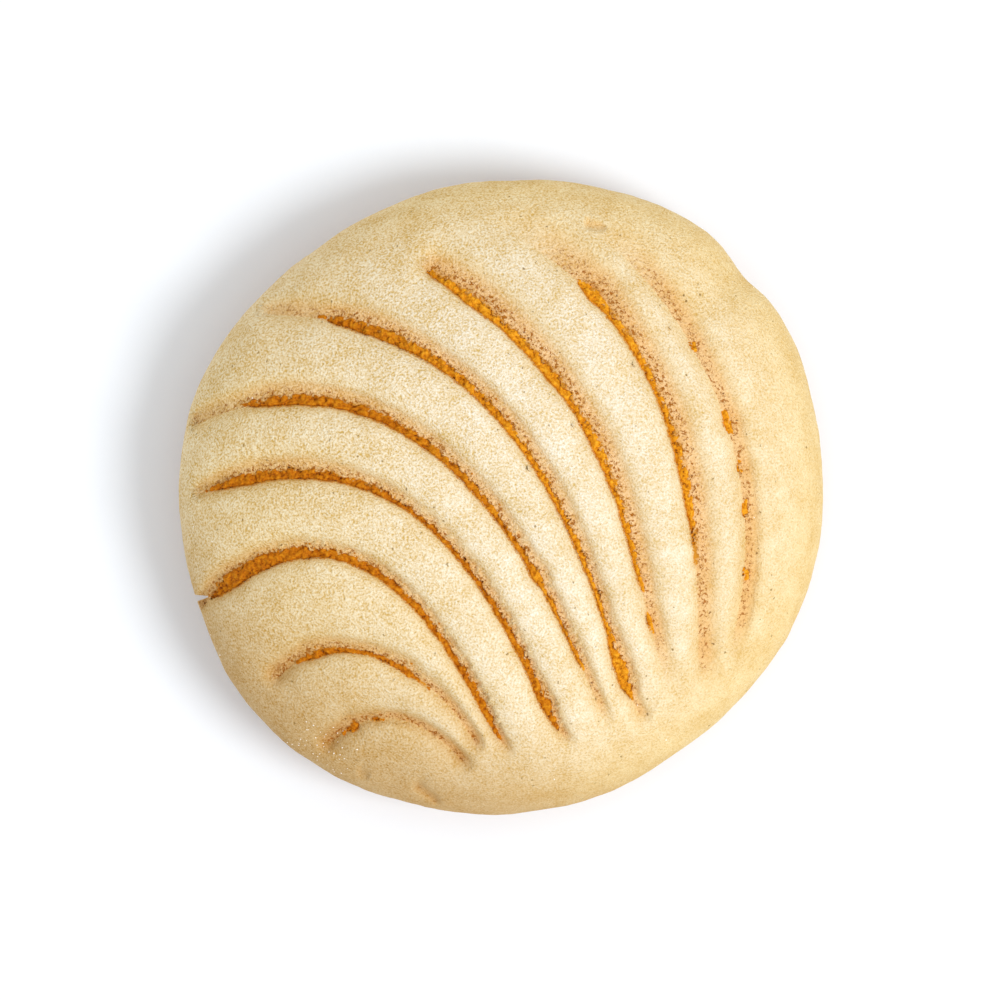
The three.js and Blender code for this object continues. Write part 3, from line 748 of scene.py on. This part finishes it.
# Picks points of the open cuts, throws each to its outer side and lets it fall on the paste
tree, given = start_tree("Scatter crumbs", {
    "Cut guide": "Object", "Paste": "Object", "Share of points": "Float", "Strays up to": "Float",
    "Largest": "Float", "Seed": "Int", "Crumb": "Material"})
lines = add(tree, "GeometryNodeObjectInfo", {"Object": given["Cut guide"]}, transform_space="RELATIVE")
ground = add(tree, "GeometryNodeObjectInfo", {"Object": given["Paste"]}, transform_space="RELATIVE")
gap = add(tree, "GeometryNodeInputNamedAttribute", {"Name": "gap"}, data_type="FLOAT")
leftward = add(tree, "GeometryNodeInputNamedAttribute", {"Name": "leftward"}, data_type="FLOAT_VECTOR")
is_open = add(tree, "FunctionNodeCompare", {"A": gap, "B": SHEDDING_GAP},
              data_type="FLOAT", operation="GREATER_THAN")
picked = add(tree, "FunctionNodeRandomValue",
             {"Probability": given["Share of points"], "Seed": given["Seed"]}, data_type="BOOLEAN")
picked = add(tree, "FunctionNodeBooleanMath", {0: picked, 1: is_open}, operation="AND")
points = add(tree, "GeometryNodeMeshToPoints", {"Mesh": lines.outputs["Geometry"], "Selection": picked})
stray = add(tree, "FunctionNodeRandomValue",
            {"Min": 0.0, "Max": 1.0, "Seed": given["Seed"]}, data_type="FLOAT")
stray = add(tree, "ShaderNodeMath", {0: stray, 1: 2.0}, operation="POWER")
stray = add(tree, "ShaderNodeMath", {0: stray, 1: given["Strays up to"]}, operation="MULTIPLY")
stray = add(tree, "ShaderNodeMath", {0: gap, 1: 0.5, 2: stray}, operation="MULTIPLY_ADD")
thrown = add(tree, "ShaderNodeVectorMath", {0: leftward, "Scale": stray}, operation="SCALE")
thrown = add(tree, "ShaderNodeVectorMath", {0: thrown, 1: (0, 0, DROP_HEIGHT)}, operation="ADD")
points = add(tree, "GeometryNodeSetPosition", {"Geometry": points, "Offset": thrown})
fall = add(tree, "GeometryNodeRaycast", {"Target Geometry": ground.outputs["Geometry"],
                                         "Ray Direction": (0, 0, -1), "Ray Length": DROP_REACH})
points = add(tree, "GeometryNodeSeparateGeometry",
             {"Geometry": points, "Selection": fall.outputs["Is Hit"]}, domain="POINT").outputs["Selection"]
points = add(tree, "GeometryNodeSetPosition", {"Geometry": points, "Position": fall.outputs["Hit Position"]})
size = add(tree, "FunctionNodeRandomValue",
           {"Min": 0.35, "Max": 1.0, "Seed": given["Seed"]}, data_type="FLOAT")
size = add(tree, "ShaderNodeMath", {0: size, 1: given["Largest"]}, operation="MULTIPLY")
turn = add(tree, "FunctionNodeRandomValue",
           {"Min": (0, 0, 0), "Max": ANY_TURN, "Seed": given["Seed"]}, data_type="FLOAT_VECTOR")
lump = add(tree, "GeometryNodeMeshIcoSphere", {"Radius": 0.5, "Subdivisions": 1})
lump = add(tree, "GeometryNodeTransform", {"Geometry": lump, "Scale": (1, 0.75, 0.6)})
strewn = add(tree, "GeometryNodeInstanceOnPoints",
             {"Points": points, "Instance": lump, "Rotation": turn, "Scale": size})
tone = add(tree, "FunctionNodeRandomValue",
           {"Min": 0.0, "Max": 1.0, "Seed": given["Seed"]}, data_type="FLOAT")
strewn = add(tree, "GeometryNodeStoreNamedAttribute",
             {"Geometry": strewn, "Name": "tone", "Value": tone}, data_type="FLOAT", domain="INSTANCE")
end_tree(tree, strewn, given["Crumb"])
run_tree(crumbs, tree, {
    "Cut guide": guide, "Paste": paste, "Share of points": 0.06, "Strays up to": 1.2 * MM,
    "Largest": 0.7 * MM, "Seed": 11, "Crumb": crumb_stuff})
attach(crumbs, "root")
bpy.data.objects.remove(guide)

# The sugar
# Loose grains of white table sugar that stuck to the paste before it baked. Most of them lie in
# one spot low on the left side, and a few are strewn all over.
SUGAR_SPOT = (-31 * MM, -43.5 * MM, 26 * MM)
GRAINS_IN_SPOT, GRAINS_ELSEWHERE = 4e5, 2.0e3

# Sugar: hard white grains with flat faces that glint a little
sugar_stuff, tree = start_material("sugar")
shader = add(tree, "ShaderNodeBsdfPrincipled",
             {"Base Color": linear("#fffaf0"), "Roughness": 0.35, "Specular IOR Level": 0.5})
add(tree, "ShaderNodeOutputMaterial", {"Surface": shader})

sugar = make_object("sugar_grains", bpy.data.meshes.new("sugar_grains"))

# Strews grains over the paste, thick round one spot and thin elsewhere, by number to a square metre
tree, given = start_tree("Strew sugar", {
    "Paste": "Object", "Spot": "Vector", "Spot size": "Float", "Density": "Float", "Elsewhere": "Float",
    "Largest": "Float", "Seed": "Int", "Sugar": "Material"})
ground = add(tree, "GeometryNodeObjectInfo", {"Object": given["Paste"]}, transform_space="RELATIVE")
spot = add(tree, "GeometryNodeInputPosition")
away = add(tree, "ShaderNodeVectorMath", {0: spot, 1: given["Spot"]}, operation="DISTANCE")
thick = add(tree, "ShaderNodeMapRange",
            {"Value": away.outputs["Value"], "From Min": given["Spot size"], "From Max": 0.0,
             "To Min": given["Elsewhere"], "To Max": given["Density"]})
facing = add(tree, "GeometryNodeInputNormal")
upward = add(tree, "ShaderNodeSeparateXYZ", {"Vector": facing}).outputs["Z"]
is_up = add(tree, "FunctionNodeCompare", {"A": upward, "B": 0.05},
            data_type="FLOAT", operation="GREATER_THAN")
points = add(tree, "GeometryNodeDistributePointsOnFaces",
             {"Mesh": ground.outputs["Geometry"], "Selection": is_up, "Density": thick,
              "Seed": given["Seed"]})
size = add(tree, "FunctionNodeRandomValue",
           {"Min": 0.5, "Max": 1.0, "Seed": given["Seed"]}, data_type="FLOAT")
size = add(tree, "ShaderNodeMath", {0: size, 1: given["Largest"]}, operation="MULTIPLY")
turn = add(tree, "FunctionNodeRandomValue",
           {"Min": (0, 0, 0), "Max": ANY_TURN, "Seed": given["Seed"]}, data_type="FLOAT_VECTOR")
grain = add(tree, "GeometryNodeMeshCube", {"Size": (1, 0.8, 0.7)})
strewn = add(tree, "GeometryNodeInstanceOnPoints",
             {"Points": points.outputs["Points"], "Instance": grain, "Rotation": turn, "Scale": size})
end_tree(tree, strewn, given["Sugar"])
run_tree(sugar, tree, {
    "Paste": paste, "Spot": SUGAR_SPOT, "Spot size": 9 * MM, "Density": GRAINS_IN_SPOT,
    "Elsewhere": GRAINS_ELSEWHERE, "Largest": 0.26 * MM, "Seed": 4, "Sugar": sugar_stuff})
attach(sugar, "root")

# The floor, light and camera
# A plain white ground that runs out of the picture, one soft lamp low on the right with pale
# light all round, and a camera that looks straight down.
FLOOR_REACH = 3
SKY_STRENGTH = 0.82
LAMP_TURN, LAMP_RISE, LAMP_AWAY = math.radians(-22), math.radians(58), 1.2
LAMP_ACROSS, LAMP_WATTS = 0.45, 7.3
CAMERA_PLACE = (-0.25 * MM, -0.53 * MM, 0.9)
white = bpy.data.materials.new("white_ground")
white.use_nodes = True
white.node_tree.nodes["Principled BSDF"].inputs["Base Color"].default_value = linear("#f1f6fc")
white.node_tree.nodes["Principled BSDF"].inputs["Roughness"].default_value = 1.0
mesh = bpy.data.meshes.new("floor")
corners = [(-1, -1), (1, -1), (1, 1), (-1, 1)]
mesh.from_pydata([(x * FLOOR_REACH, y * FLOOR_REACH, 0) for x, y in corners], [], [(0, 1, 2, 3)])
mesh.materials.append(white)
floor = make_object("floor", mesh)

sky = bpy.data.worlds.new("pale_light")
sky.use_nodes = True
sky.node_tree.nodes["Background"].inputs["Color"].default_value = linear("#ffffff")
sky.node_tree.nodes["Background"].inputs["Strength"].default_value = SKY_STRENGTH
bpy.context.scene.world = sky

lamp = bpy.data.lights.new("soft_lamp", "AREA")
lamp.shape = "DISK"
lamp.size = LAMP_ACROSS
lamp.energy = LAMP_WATTS
lamp_place = make_object("soft_lamp", lamp)
lamp_place.location = (LAMP_AWAY * math.cos(LAMP_RISE) * math.cos(LAMP_TURN),
                       LAMP_AWAY * math.cos(LAMP_RISE) * math.sin(LAMP_TURN), LAMP_AWAY * math.sin(LAMP_RISE))
lamp_place.rotation_euler = lamp_place.location.to_track_quat("Z", "Y").to_euler()

eye = bpy.data.cameras.new("camera")
eye.sensor_width = 36
eye.lens = 179.4
camera = make_object("camera", eye)
camera.location = CAMERA_PLACE
bpy.context.scene.camera = camera
bpy.context.scene.view_settings.view_transform = "Standard"
